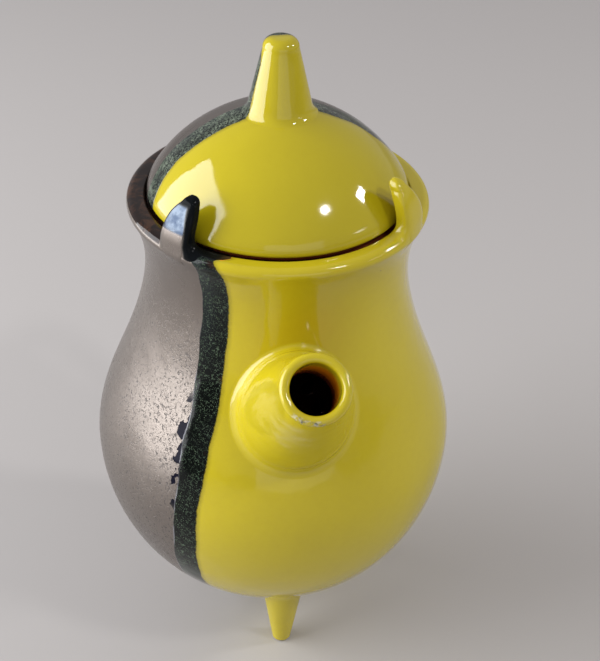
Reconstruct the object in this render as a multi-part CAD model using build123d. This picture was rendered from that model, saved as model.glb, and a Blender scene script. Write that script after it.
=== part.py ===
from build123d import *
import os
from math import cos, radians, sin

# Glazed ceramic teapot: tall pear-shaped body on three cone feet, short conical spout,
# ear handle, domed lid with a tapered knob, and two claws on the rim that hold the lid in.
# Frame: +Z up, origin on the pot's axis at table level, spout towards -Y, handle towards +Y.
# All sizes are in millimetres and degrees. Outlines are drawn as (radius, height).

# Body
RIM_Z = 191.6
RIM_RADIUS = 52.7
LIP_THICKNESS = 6.5
LIP_OUTER_ROUND = 2.5
LIP_INNER_ROUND = 0.9
LIP_FLARE = 60.0  # direction of the flared lip, above the horizontal
WAIST_RADIUS = 47.2
WAIST_Z = 168.2
NECK_RADIUS = 49.7
NECK_Z = 148.3
SHOULDER_RADIUS = 56.2
SHOULDER_Z = 128.3
BELLY_RADIUS = 68.0
BELLY_Z = 88.5
BASE_Z = 16.5
WALL = 4.5

# Ledge inside the neck that the lid rests on
LEDGE_Z = RIM_Z - 2.5
LEDGE_RADIUS = 40.5
LEDGE_OUTER_RADIUS = 46.0
LEDGE_THICKNESS = 3.5

# Lid
LID_RADIUS = 45.4
LID_WIDEST_Z = RIM_Z + 1.2
LID_RISE = 31.5
LID_SEAT_RADIUS = 43.0
LID_EDGE_ROUND = 1.3
LID_WALL = 4.4
FLANGE_RADIUS = 39.3
FLANGE_TIP_RADIUS = 36.6
FLANGE_DEPTH = 8.0
FLANGE_THICKNESS = 4.0
FLANGE_ARM = 3.5

# Knob
KNOB_TOP_Z = 247.8
KNOB_ROOT_RADIUS = 10.9
KNOB_TOP_RADIUS = 6.1
KNOB_EDGE = 3.4

# Spout, along its own axis
SPOUT_RISE = 45.8  # axis above the horizontal
SPOUT_ROOT_Y = -52.5
SPOUT_ROOT_Z = 135.3
SPOUT_LENGTH = 53.0
SPOUT_MOUTH_RADIUS = 11.3
SPOUT_MOUTH_BORE = 8.1
SPOUT_ROOT_RADIUS = 20.6
SPOUT_ROOT_DRAFT = 0.6  # narrowing by the axis's start
SPOUT_WAIST_SHARE = 0.38  # of the length
SPOUT_WAIST_SWELL = 0.9
SPOUT_THROAT_SHARE = 0.55  # of the length, where the bore becomes even
SPOUT_WALL = 4.2
SPOUT_WAIST_WALL = 2.7
SPOUT_SUNK = -25.0  # the outline starts this far behind the axis's start
STRAINER_HOLE_RADIUS = 2.0
STRAINER_RING_RADIUS = 7.5
STRAINER_RING_COUNT = 6
STRAINER_DRILL = 60.0

# Claws on the rim, with the piece of lip that each grows from
PRONG_LEFT_ANGLE = -49.5  # from the spout
PRONG_RIGHT_ANGLE = 53.3
PRONG_LEFT_HEIGHT = 17.2
PRONG_RIGHT_HEIGHT = 18.8  # a little taller than the left one, as made by hand
PRONG_FRONT = 8.8  # root, towards the spout
PRONG_BACK = 7.0  # root, towards the handle
PRONG_ROOT_DEPTH = 2.0

# Feet
FOOT_CIRCLE_RADIUS = 34.0
FOOT_ROOT_RADIUS = 8.0
FOOT_TIP_RADIUS = 3.8
FOOT_TIP_EDGE = 1.4
FOOT_ROOT_Z = 26.5

# Handle, drawn in the YZ plane
HANDLE_WIDTH = 13.0
HANDLE_THICKNESS = 9.0
HANDLE_TOP_Z = 160.5
HANDLE_REAR_Y = 92.6
HANDLE_TOP_BEND = 24.0
HANDLE_GRIP_BEND = 62.0
HANDLE_GRIP_SWEEP = 50.0


def revolved(*edges):
    """Turn a closed outline, drawn as (radius, height), about the pot's axis."""
    return revolve(Plane.XZ * make_face(edges), Axis.Z)


def quarter_oval(radius, height, centre_z, up):
    """Quarter of an oval, from its widest point to the pot's axis, above or below centre_z."""
    way = 1 if up else -1
    share = cos(radians(45))
    return Spline(
        (radius, centre_z),
        (radius * share, centre_z + way * height * share),
        (0, centre_z + way * height),
        tangents=[(0, way), (-1, 0)],
    )


def around(shape, angle):
    """Turn a shape that faces -Y about the pot's axis, towards +X for a positive angle."""
    return Rot(0, 0, angle) * shape


def lip_points():
    """Points round the flat-topped lip, from where the flared wall meets it to its inner side."""
    centre_r = RIM_RADIUS - LIP_OUTER_ROUND
    centre_z = RIM_Z - LIP_OUTER_ROUND
    inner_r = RIM_RADIUS - LIP_THICKNESS
    diagonal = cos(radians(45))
    outside = (
        centre_r + LIP_OUTER_ROUND * sin(radians(LIP_FLARE)),
        centre_z - LIP_OUTER_ROUND * cos(radians(LIP_FLARE)),
    )
    shoulder = (centre_r + LIP_OUTER_ROUND * diagonal, centre_z + LIP_OUTER_ROUND * diagonal)
    top_outer = (centre_r, RIM_Z)
    top_inner = (inner_r + LIP_INNER_ROUND, RIM_Z)
    corner = (
        inner_r + LIP_INNER_ROUND * (1 - diagonal),
        RIM_Z - LIP_INNER_ROUND * (1 - diagonal),
    )
    inside = (inner_r, RIM_Z - LIP_INNER_ROUND)
    return outside, shoulder, top_outer, top_inner, corner, inside


def outer_wall():
    """The body's outside, from the middle of the base up to the lip."""
    outside = lip_points()[0]
    bowl = quarter_oval(BELLY_RADIUS, BELLY_Z - BASE_Z, BELLY_Z, up=False)
    flare = (cos(radians(LIP_FLARE)), sin(radians(LIP_FLARE)))
    side = Spline(
        (BELLY_RADIUS, BELLY_Z),
        (SHOULDER_RADIUS, SHOULDER_Z),
        (NECK_RADIUS, NECK_Z),
        (WAIST_RADIUS, WAIST_Z),
        outside,
        tangents=[(0, 1), flare],
    )
    return bowl, side


def body_blank():
    """The body's outside as a filled solid, which cuts whatever is joined to it."""
    outside = lip_points()[0]
    bowl, side = outer_wall()
    lid = Line(outside, (0, outside[1]))
    return revolved(bowl, side, lid, Line((0, outside[1]), (0, BASE_Z)))


def body_shell():
    """Hollow body with the round lip and the ledge."""
    outside, shoulder, top_outer, top_inner, corner, inside = lip_points()
    bowl, side = outer_wall()
    lip_outer = ThreePointArc(outside, shoulder, top_outer)
    lip_top = Line(top_outer, top_inner)
    lip_inner = ThreePointArc(top_inner, corner, inside)
    ledge_outer = (LEDGE_OUTER_RADIUS, LEDGE_Z)
    ledge_edge = (LEDGE_RADIUS, LEDGE_Z)
    ledge_under = (LEDGE_RADIUS, LEDGE_Z - LEDGE_THICKNESS)
    neck = (WAIST_RADIUS - WALL, WAIST_Z)
    belly_inner = BELLY_RADIUS - WALL
    throat = Polyline(inside, ledge_outer, ledge_edge, ledge_under, neck)
    inner_side = Spline(
        neck,
        (NECK_RADIUS - WALL, NECK_Z),
        (SHOULDER_RADIUS - WALL, SHOULDER_Z),
        (belly_inner, BELLY_Z),
        tangents=[(0, -1), (0, -1)],
    )
    inner_bowl = quarter_oval(belly_inner, BELLY_Z - BASE_Z - WALL, BELLY_Z, up=False)
    floor = Line((0, BASE_Z + WALL), (0, BASE_Z))
    return revolved(bowl, side, lip_outer, lip_top, lip_inner, throat, inner_side, inner_bowl, floor)


def spout_plane():
    """A plane across the spout's root, facing along its axis, with its x along the row's X."""
    rise = radians(SPOUT_RISE)
    return Plane(
        origin=(0, SPOUT_ROOT_Y, SPOUT_ROOT_Z),
        x_dir=(1, 0, 0),
        z_dir=(0, -cos(rise), sin(rise)),
    )


def turned_on_spout(*edges):
    """Turn an outline, drawn as (radius, distance along the spout), about the spout's axis."""
    return spout_plane() * revolve(Plane.XZ * make_face(edges), Axis.Z)


def spout(blank):
    """Bell-shaped spout with a round mouth edge, hollow down to the body's wall."""
    lip = (SPOUT_MOUTH_RADIUS - SPOUT_MOUTH_BORE) / 2
    lip_z = SPOUT_LENGTH - lip
    waist = (SPOUT_ROOT_RADIUS + SPOUT_MOUTH_RADIUS) / 2
    waist_z = SPOUT_WAIST_SHARE * SPOUT_LENGTH
    throat_z = SPOUT_THROAT_SHARE * SPOUT_LENGTH
    outside = turned_on_spout(
        Line((0, SPOUT_SUNK), (SPOUT_ROOT_RADIUS, SPOUT_SUNK)),
        Spline(
            (SPOUT_ROOT_RADIUS, SPOUT_SUNK),
            (SPOUT_ROOT_RADIUS - SPOUT_ROOT_DRAFT, 0),
            (waist + SPOUT_WAIST_SWELL, waist_z),
            (SPOUT_MOUTH_RADIUS, lip_z),
            tangents=[(0, 1), (-0.08, 1)],
        ),
        ThreePointArc(
            (SPOUT_MOUTH_RADIUS, lip_z),
            (SPOUT_MOUTH_RADIUS - lip, SPOUT_LENGTH),
            (SPOUT_MOUTH_BORE, lip_z),
        ),
        Polyline((SPOUT_MOUTH_BORE, lip_z), (0, lip_z), (0, SPOUT_SUNK)),
    )
    bore_root = SPOUT_ROOT_RADIUS - SPOUT_WALL
    channel = turned_on_spout(
        Polyline(
            (0, SPOUT_SUNK),
            (bore_root, SPOUT_SUNK),
            (bore_root, 0),
            (waist - SPOUT_WAIST_WALL, waist_z),
            (SPOUT_MOUTH_BORE, throat_z),
            (SPOUT_MOUTH_BORE, SPOUT_LENGTH),
            (0, SPOUT_LENGTH),
            (0, SPOUT_SUNK),
        )
    )
    return outside - channel - blank


def strainer_holes():
    """Round holes pierced through the body's wall behind the spout."""
    centre = [Location((0, 0, 0))]
    ring = PolarLocations(STRAINER_RING_RADIUS, STRAINER_RING_COUNT)
    hole = Cylinder(STRAINER_HOLE_RADIUS, STRAINER_DRILL)
    return [spout_plane() * place * hole for place in centre + list(ring)]


def prong_outline(height):
    """The claw seen from outside, drawn as (sideways from its middle, height above the rim)."""
    root = 0.8
    front_low = (-6.9, 0.27 * height)
    front_waist = (-7.1, 0.56 * height)
    front_high = (-6.4, 0.82 * height)
    tip = (-4.0, height)
    back_high = (-0.6, 0.89 * height)
    back_middle = (2.7, 0.67 * height)
    back_low = (4.8, 0.38 * height)
    return make_face(
        [
            Polyline(
                (PRONG_BACK, root),
                (PRONG_BACK, -PRONG_ROOT_DEPTH),
                (-PRONG_FRONT, -PRONG_ROOT_DEPTH),
                (-PRONG_FRONT, root),
            ),
            Spline(
                (-PRONG_FRONT, root),
                front_low,
                front_waist,
                front_high,
                tangents=[(1, 1), (0.3, 1)],
            ),
            ThreePointArc(front_high, tip, back_high),
            Spline(
                back_high,
                back_middle,
                back_low,
                (PRONG_BACK, root),
                tangents=[(1, -0.9), (0.7, -1)],
            ),
        ]
    )


def prong_section(height):
    """Radial section of a claw, from inside the lip up to the tip, leaning over the lid."""
    inner_lip = RIM_RADIUS - LIP_THICKNESS
    foot_outer = (RIM_RADIUS - 0.7, RIM_Z - PRONG_ROOT_DEPTH)
    outer_low = (RIM_RADIUS - 0.2, RIM_Z + 0.24 * height)
    outer_high = (RIM_RADIUS - 2.0, RIM_Z + 0.62 * height)
    tip_outer = (RIM_RADIUS - 4.9, RIM_Z + 0.89 * height)
    tip = (RIM_RADIUS - 6.8, RIM_Z + 1.01 * height)
    tip_inner = (RIM_RADIUS - 8.2, RIM_Z + 0.87 * height)
    inner_high = (inner_lip - 0.2, RIM_Z + 0.57 * height)
    inner_low = (inner_lip + 1.1, RIM_Z + 0.21 * height)
    foot_inner = (inner_lip + 1.3, RIM_Z - PRONG_ROOT_DEPTH)
    return make_face(
        [
            Spline(
                foot_outer,
                outer_low,
                outer_high,
                tip_outer,
                tangents=[(0.1, 1), (-0.5, 1)],
            ),
            ThreePointArc(tip_outer, tip, tip_inner),
            Spline(
                tip_inner,
                inner_high,
                inner_low,
                foot_inner,
                tangents=[(0.35, -1), (0.0, -1)],
            ),
            Line(foot_inner, foot_outer),
        ]
    )


def prong_slot(side, angle):
    """Block of rim that a claw takes the place of. side is 1 for +X and -1 for -X."""
    top = 3.0
    reach = 14.0
    inset = 3.0
    width = PRONG_FRONT + PRONG_BACK
    depth = PRONG_ROOT_DEPTH + top
    middle = side * (PRONG_BACK - PRONG_FRONT) / 2
    block = Pos(middle, inset - RIM_RADIUS, RIM_Z + top - depth / 2) * Box(width, reach, depth)
    return around(block, angle)


def prong(shell, side, angle, height):
    """One claw with its piece of lip. side is 1 for +X and -1 for -X."""
    outside = 10.0
    reach = 30.0
    facing = Plane(origin=(0, -RIM_RADIUS - outside, RIM_Z), x_dir=(1, 0, 0), z_dir=(0, -1, 0))
    window = extrude(facing * prong_outline(height), amount=-reach)
    claw = revolve(Plane.XZ * prong_section(height), Axis.Z) & window
    if side < 0:
        claw = mirror(claw, Plane.YZ)
    return (shell & prong_slot(side, angle)) + around(claw, angle)


def foot(blank, angle):
    """Cone that stands on a small ground face and ends on the body's underside."""
    slope = (FOOT_ROOT_RADIUS - FOOT_TIP_RADIUS) / FOOT_ROOT_Z
    sunk_z = FOOT_ROOT_Z + 14
    sunk_radius = FOOT_TIP_RADIUS + slope * sunk_z
    flat = FOOT_TIP_RADIUS - FOOT_TIP_EDGE
    shape = revolved(
        Line((0, 0), (flat, 0)),
        ThreePointArc(
            (flat, 0),
            (flat + FOOT_TIP_EDGE * sin(radians(45)), FOOT_TIP_EDGE * (1 - cos(radians(45)))),
            (FOOT_TIP_RADIUS, FOOT_TIP_EDGE),
        ),
        Line((FOOT_TIP_RADIUS, FOOT_TIP_EDGE), (sunk_radius, sunk_z)),
        Polyline((sunk_radius, sunk_z), (0, sunk_z), (0, 0)),
    )
    return around(Pos(0, -FOOT_CIRCLE_RADIUS, 0) * shape, angle) - blank


def handle(blank):
    """Ear-shaped loop: straight out of the neck, round the top bend, down to the belly."""
    bend_y = HANDLE_REAR_Y - HANDLE_TOP_BEND
    bend_z = HANDLE_TOP_Z - HANDLE_TOP_BEND
    grip_y = HANDLE_REAR_Y - HANDLE_GRIP_BEND
    sweep_angle = radians(HANDLE_GRIP_SWEEP)
    half = sweep_angle / 2
    grip_mid = (grip_y + HANDLE_GRIP_BEND * cos(half), bend_z - HANDLE_GRIP_BEND * sin(half))
    grip_end = (
        grip_y + HANDLE_GRIP_BEND * cos(sweep_angle),
        bend_z - HANDLE_GRIP_BEND * sin(sweep_angle),
    )
    run_in = 12.0
    inside = (grip_end[0] - run_in * sin(sweep_angle), grip_end[1] - run_in * cos(sweep_angle))
    corner = HANDLE_TOP_BEND * sin(radians(45))
    start = (WAIST_RADIUS - 6, HANDLE_TOP_Z)
    route = Curve() + [
        Line(start, (bend_y, HANDLE_TOP_Z)),
        ThreePointArc((bend_y, HANDLE_TOP_Z), (bend_y + corner, bend_z + corner), (HANDLE_REAR_Y, bend_z)),
        ThreePointArc((HANDLE_REAR_Y, bend_z), grip_mid, grip_end),
        Line(grip_end, inside),
    ]
    section_plane = Plane(origin=(0, start[0], start[1]), x_dir=(1, 0, 0), z_dir=(0, 1, 0))
    section = section_plane * Ellipse(HANDLE_WIDTH / 2, HANDLE_THICKNESS / 2)
    return sweep(section, Plane.YZ * route) - blank


def dome_curve(radius, rise):
    """Slightly pointed dome, from its widest circle up to the pot's axis."""
    shares = ((1.0, 0.0), (0.947, 0.19), (0.702, 0.571), (0.321, 0.889), (0.0, 1.0))
    points = [(radius * out, LID_WIDEST_Z + rise * up) for out, up in shares]
    return Spline(*points, tangents=[(0, 1), (-1, 0)])


def dome_blank():
    """The dome's outside as a filled solid, which cuts the knob."""
    top = (0, LID_WIDEST_Z + LID_RISE)
    return revolved(
        dome_curve(LID_RADIUS, LID_RISE),
        Polyline(top, (0, LID_WIDEST_Z), (LID_RADIUS, LID_WIDEST_Z)),
    )


def lid_dome():
    """Domed cover, open below, whose edge is rounded under and drawn in to a narrower seat."""
    inner_radius = LID_RADIUS - LID_WALL
    inner_rise = LID_RISE - LID_WALL
    turn = LID_EDGE_ROUND * (1 - cos(radians(45)))
    edge_inner = (LID_RADIUS - LID_EDGE_ROUND, LID_WIDEST_Z - LID_EDGE_ROUND)
    edge_corner = (LID_RADIUS - turn, LID_WIDEST_Z - LID_EDGE_ROUND + turn)
    return revolved(
        dome_curve(LID_RADIUS, LID_RISE),
        Line((0, LID_WIDEST_Z + LID_RISE), (0, LID_WIDEST_Z + inner_rise)),
        dome_curve(inner_radius, inner_rise),
        Polyline(
            (inner_radius, LID_WIDEST_Z),
            (inner_radius, LEDGE_Z),
            (LID_SEAT_RADIUS, LEDGE_Z),
            edge_inner,
        ),
        ThreePointArc(edge_inner, edge_corner, (LID_RADIUS, LID_WIDEST_Z)),
    )


def lid_flange():
    """Locating ring with a tapered outside, held by a short arm inside the dome's edge."""
    arm_radius = LID_RADIUS - LID_WALL
    top_z = LEDGE_Z + FLANGE_ARM
    tip_z = LEDGE_Z - FLANGE_DEPTH
    return revolved(
        Polyline(
            (FLANGE_TIP_RADIUS, tip_z),
            (FLANGE_RADIUS, LEDGE_Z),
            (arm_radius, LEDGE_Z),
            (arm_radius, top_z),
            (FLANGE_RADIUS - FLANGE_THICKNESS, top_z),
            (FLANGE_RADIUS - FLANGE_THICKNESS, LEDGE_Z),
            (FLANGE_TIP_RADIUS - FLANGE_THICKNESS + 1.0, tip_z),
            (FLANGE_TIP_RADIUS, tip_z),
        )
    )


def lid_knob():
    """Solid tapered finial with a rounded top edge, ending on the dome."""
    top_z = LID_WIDEST_Z + LID_RISE
    edge_z = KNOB_TOP_Z - KNOB_EDGE
    slope = (KNOB_ROOT_RADIUS - KNOB_TOP_RADIUS) / (edge_z - top_z)
    sunk = 6.0
    sunk_radius = KNOB_ROOT_RADIUS + slope * sunk
    flat = KNOB_TOP_RADIUS - KNOB_EDGE
    corner = KNOB_EDGE * sin(radians(45))
    shape = revolved(
        Polyline((0, top_z - sunk), (sunk_radius, top_z - sunk), (KNOB_TOP_RADIUS, edge_z)),
        ThreePointArc(
            (KNOB_TOP_RADIUS, edge_z), (flat + corner, edge_z + corner), (flat, KNOB_TOP_Z)
        ),
        Polyline((flat, KNOB_TOP_Z), (0, KNOB_TOP_Z), (0, top_z - sunk)),
    )
    return shape - dome_blank()


def main():
    os.makedirs("parts", exist_ok=True)
    blank = body_blank()
    whole_shell = body_shell()
    slots = [prong_slot(-1, PRONG_LEFT_ANGLE), prong_slot(1, PRONG_RIGHT_ANGLE)]
    shell = whole_shell - strainer_holes() - slots
    nodes = {
        "body_shell": shell,
        "spout": spout(blank),
        "handle": handle(blank),
        "prong_left": prong(whole_shell, -1, PRONG_LEFT_ANGLE, PRONG_LEFT_HEIGHT),
        "prong_right": prong(whole_shell, 1, PRONG_RIGHT_ANGLE, PRONG_RIGHT_HEIGHT),
        "foot_front": foot(blank, 0),
        "foot_rear_left": foot(blank, -120),
        "foot_rear_right": foot(blank, 120),
        "lid_dome": lid_dome(),
        "lid_flange": lid_flange(),
        "lid_knob": lid_knob(),
    }
    for name, shape in nodes.items():
        export_step(shape, f"parts/{name}.step")


main()
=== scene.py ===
import math

import bpy
import numpy as np
from mathutils import Matrix, Vector


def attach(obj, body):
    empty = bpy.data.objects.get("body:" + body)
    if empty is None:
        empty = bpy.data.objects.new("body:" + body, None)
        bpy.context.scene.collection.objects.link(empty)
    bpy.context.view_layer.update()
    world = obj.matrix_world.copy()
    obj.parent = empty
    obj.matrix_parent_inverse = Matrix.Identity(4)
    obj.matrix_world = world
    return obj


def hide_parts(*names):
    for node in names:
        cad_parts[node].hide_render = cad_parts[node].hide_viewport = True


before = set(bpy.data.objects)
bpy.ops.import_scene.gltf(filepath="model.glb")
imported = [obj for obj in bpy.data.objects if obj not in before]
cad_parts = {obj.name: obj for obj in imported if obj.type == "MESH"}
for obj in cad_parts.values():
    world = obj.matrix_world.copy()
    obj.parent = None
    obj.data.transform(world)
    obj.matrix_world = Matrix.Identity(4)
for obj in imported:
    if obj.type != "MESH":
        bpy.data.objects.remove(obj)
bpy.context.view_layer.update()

MM = 0.001

# ---------------------------------------------------------------- sizes, in millimetres
RIM_Z = 191.6
RIM_RADIUS = 52.7
LIP_OUTER_ROUND = 2.5
LIP_INNER_ROUND = 0.9
LIP_INNER = 46.2
LIP_FLARE = math.radians(60)  # direction of the flared lip, above the horizontal
WAIST_RADIUS, WAIST_Z = 47.2, 168.2
NECK_RADIUS, NECK_Z = 49.7, 148.3
SHOULDER_RADIUS, SHOULDER_Z = 56.2, 128.3
BELLY_RADIUS, BELLY_Z = 68.0, 88.5
BASE_Z = 16.5
WALL = 4.5
LEDGE_Z = 189.1
LEDGE_RADIUS = 40.5
LEDGE_OUTER_RADIUS = 46.0
LEDGE_THICKNESS = 3.5

LID_RADIUS = 45.4
LID_WIDEST_Z = 192.8
LID_RISE = 31.5
LID_WALL = 4.4
LID_EDGE_ROUND = 1.3
LID_SEAT_RADIUS = 43.1
FLANGE_RADIUS = 39.3
FLANGE_INNER_RADIUS = 35.3
FLANGE_SEAT_RADIUS = 41.0
FLANGE_TIP_OUTER = 36.6
FLANGE_TIP_INNER = 33.6
FLANGE_DEPTH = 8.0
FLANGE_ARM = 3.5
KNOB_TOP_Z = 247.8
KNOB_TOP_RADIUS = 6.1
KNOB_EDGE = 3.4
KNOB_SUNK = (12.33, 218.3)  # radius and height where its outline ends inside the dome

SPOUT_RISE = math.radians(45.8)
SPOUT_ROOT = np.array((0.0, -52.5, 135.3))
SPOUT_LENGTH = 52.99
SPOUT_MOUTH = 11.3
SPOUT_BORE = 8.1
SPOUT_ROOT_RADIUS = 20.6
SPOUT_START_RADIUS = 20.0
SPOUT_WAIST = (16.85, 0.38)  # radius, and share of the length
SPOUT_THROAT_AT = 29.15  # where the bore begins to widen
SPOUT_WAIST_BORE = (13.25, 20.14)
SPOUT_ROOT_BORE = 16.4
SPOUT_SUNK = -25.0
STRAINER_RING = 7.5
STRAINER_HOLE = 2.0
STRAINER_REACH = 30.0

FOOT_CIRCLE = 34.0
FOOT_TIP_RADIUS = 3.8
FOOT_TIP_EDGE = 1.4
FOOT_ROOT_RADIUS = 8.0
FOOT_ROOT_Z = 26.5
FOOT_LENGTH = 45.0  # drawn well into the pot, and cut at its surface

HANDLE_TOP_Z = 160.5
HANDLE_REAR = 92.6
HANDLE_START = 38.0
HANDLE_TOP_BEND = 24.0
HANDLE_GRIP_BEND = 62.0
HANDLE_GRIP_SWEEP = 50.0
HANDLE_TAIL = 12.0
HANDLE_HALF_WIDTH = 6.5
HANDLE_HALF_THICKNESS = 4.5

CLAW_BASE = -12.8  # lowest level slice, from the rim
CLAW_TIP_ROUND = 2.2
CLAW_HEIGHT = 17.2  # height that the lean of the claws is drawn for
CLAW_BOXINESS = 0.46  # 1 gives an oval slice, less a squarer one

COLUMNS = 264
OUTLINE_STEP = 1.5
CORNER_POINTS = 6
LAND_SINK = 0.03  # a fairing ends this far under the surface that it lands on
ROOT_DEPTH = 0.8  # and its piece is closed this much deeper


# ---------------------------------------------------------------- curves
def spline(points, start, end, count):
    """Smooth curve through points, with the directions it starts and ends in."""
    pts = np.array(points, float)
    knots = np.r_[0.0, np.cumsum(np.linalg.norm(np.diff(pts, axis=0), axis=1))]
    gap = np.diff(knots)
    size = len(pts)
    lhs = np.zeros((size, size))
    rhs = np.zeros(pts.shape)
    slope = np.diff(pts, axis=0) / gap[:, None]
    begin = np.array(start, float) / np.linalg.norm(start)
    finish = np.array(end, float) / np.linalg.norm(end)
    lhs[0, :2] = 2 * gap[0], gap[0]
    rhs[0] = 6 * (slope[0] - begin)
    lhs[-1, -2:] = gap[-1], 2 * gap[-1]
    rhs[-1] = 6 * (finish - slope[-1])
    for i in range(1, size - 1):
        lhs[i, i - 1:i + 2] = gap[i - 1], 2 * (gap[i - 1] + gap[i]), gap[i]
        rhs[i] = 6 * (slope[i] - slope[i - 1])
    bend = np.linalg.solve(lhs, rhs)
    at = np.linspace(0, knots[-1], count)
    k = np.clip(np.searchsorted(knots, at, side="right") - 1, 0, size - 2)
    h = gap[k]
    a = ((knots[k + 1] - at) / h)[:, None]
    b = ((at - knots[k]) / h)[:, None]
    curve = (a ** 3 - a) * bend[k] + (b ** 3 - b) * bend[k + 1]
    return a * pts[k] + b * pts[k + 1] + curve * (h ** 2)[:, None] / 6


def arc(centre, radius, start, end, count):
    """Circular arc in a plane, angles in degrees."""
    turn = np.radians(np.linspace(start, end, count))
    return np.c_[centre[0] + radius * np.cos(turn), centre[1] + radius * np.sin(turn)]


def straight(start, end, count):
    """Points spread evenly from one end to the other."""
    share = np.linspace(0, 1, count)[:, None]
    return np.array(start) * (1 - share) + np.array(end) * share


def rounded(points, radii):
    """Open outline through points, each inner corner rounded by its radius."""
    pts = [np.array(p, float) for p in points]
    out = [pts[0]]
    for before, corner, after, radius in zip(pts, pts[1:], pts[2:], radii):
        back = before - corner
        ahead = after - corner
        back_len = np.linalg.norm(back)
        ahead_len = np.linalg.norm(ahead)
        reach = min(radius, 0.49 * back_len, 0.49 * ahead_len)
        first = corner + back / back_len * reach
        last = corner + ahead / ahead_len * reach
        for t in np.linspace(0, 1, CORNER_POINTS):
            out.append(first * (1 - t) ** 2 + corner * 2 * t * (1 - t) + last * t ** 2)
    out.append(pts[-1])
    return np.array(out)


def joined(*parts):
    """One outline from several, without the doubled end points."""
    out = [parts[0]]
    for part in parts[1:]:
        same = np.linalg.norm(part[0] - out[-1][-1]) < 1e-6
        out.append(part[1:] if same else part)
    return np.vstack(out)


def filled(outline, step):
    """The same outline with points added so that no two are further apart than step."""
    out = [outline[0]]
    for a, b in zip(outline, outline[1:]):
        parts = max(1, int(math.ceil(np.linalg.norm(b - a) / step)))
        for i in range(1, parts + 1):
            out.append(a + (b - a) * i / parts)
    return np.array(out)


def smooth_step(value, low, high):
    """0 below low, 1 above high, and a smooth rise between them."""
    t = np.clip((value - low) / (high - low), 0, 1)
    return t * t * (3 - 2 * t)


# ---------------------------------------------------------------- profiles, (radius, height)
def body_profile():
    oval = np.linspace(-90, 0, 64)
    depth = BELLY_Z - BASE_Z
    bowl = np.c_[BELLY_RADIUS * np.cos(np.radians(oval)), BELLY_Z + depth * np.sin(np.radians(oval))]
    bowl[0, 0] = 0.0
    outer = np.array((RIM_RADIUS - LIP_OUTER_ROUND, RIM_Z - LIP_OUTER_ROUND))
    inner = np.array((LIP_INNER + LIP_INNER_ROUND, RIM_Z - LIP_INNER_ROUND))
    flare = (math.cos(LIP_FLARE), math.sin(LIP_FLARE))
    lip = joined(
        arc(outer, LIP_OUTER_ROUND, -30, 90, 18),
        straight((outer[0], RIM_Z), (inner[0], RIM_Z), 4),
        arc(inner, LIP_INNER_ROUND, 90, 180, 9),
    )
    side = spline(
        [
            (BELLY_RADIUS, BELLY_Z), (SHOULDER_RADIUS, SHOULDER_Z), (NECK_RADIUS, NECK_Z),
            (WAIST_RADIUS, WAIST_Z), lip[0],
        ],
        (0, 1), flare, 84,
    )
    throat = rounded(
        [
            lip[-1], (LEDGE_OUTER_RADIUS, LEDGE_Z), (LEDGE_RADIUS, LEDGE_Z),
            (LEDGE_RADIUS, LEDGE_Z - LEDGE_THICKNESS), (WAIST_RADIUS - WALL, WAIST_Z),
        ],
        [0.6, 1.0, 1.4],
    )
    inner = spline(
        [
            (WAIST_RADIUS - WALL, WAIST_Z), (NECK_RADIUS - WALL, NECK_Z),
            (SHOULDER_RADIUS - WALL, SHOULDER_Z), (BELLY_RADIUS - WALL, BELLY_Z),
        ],
        (0, -1), (0, -1), 50,
    )
    low = np.radians(np.linspace(0, 90, 44))
    inner_bowl = np.c_[(BELLY_RADIUS - WALL) * np.cos(low), BELLY_Z - (depth - WALL) * np.sin(low)]
    inner_bowl[-1, 0] = 0.0
    return joined(bowl, side, lip, filled(throat, OUTLINE_STEP), inner, inner_bowl)


def dome(radius, rise, count):
    shares = ((1.0, 0.0), (0.947, 0.19), (0.702, 0.571), (0.321, 0.889), (0.0, 1.0))
    points = [(radius * out, LID_WIDEST_Z + rise * up) for out, up in shares]
    return spline(points, (0, 1), (-1, 0), count)


def lid_profile():
    top = dome(LID_RADIUS, LID_RISE, 56)[::-1]
    inner = dome(LID_RADIUS - LID_WALL, LID_RISE - LID_WALL, 44)
    edge = arc((LID_RADIUS - LID_EDGE_ROUND, LID_WIDEST_Z), LID_EDGE_ROUND, 0, -72, 9)
    inner_radius = LID_RADIUS - LID_WALL
    under = rounded(
        [edge[-1], (LID_SEAT_RADIUS, LEDGE_Z), (inner_radius, LEDGE_Z), (inner_radius, LID_WIDEST_Z)],
        [0.5, 0.7],
    )
    profile = joined(top, edge, filled(under, OUTLINE_STEP), inner)
    profile[0, 0] = 0.0
    profile[-1, 0] = 0.0
    return profile[::-1]


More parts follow.
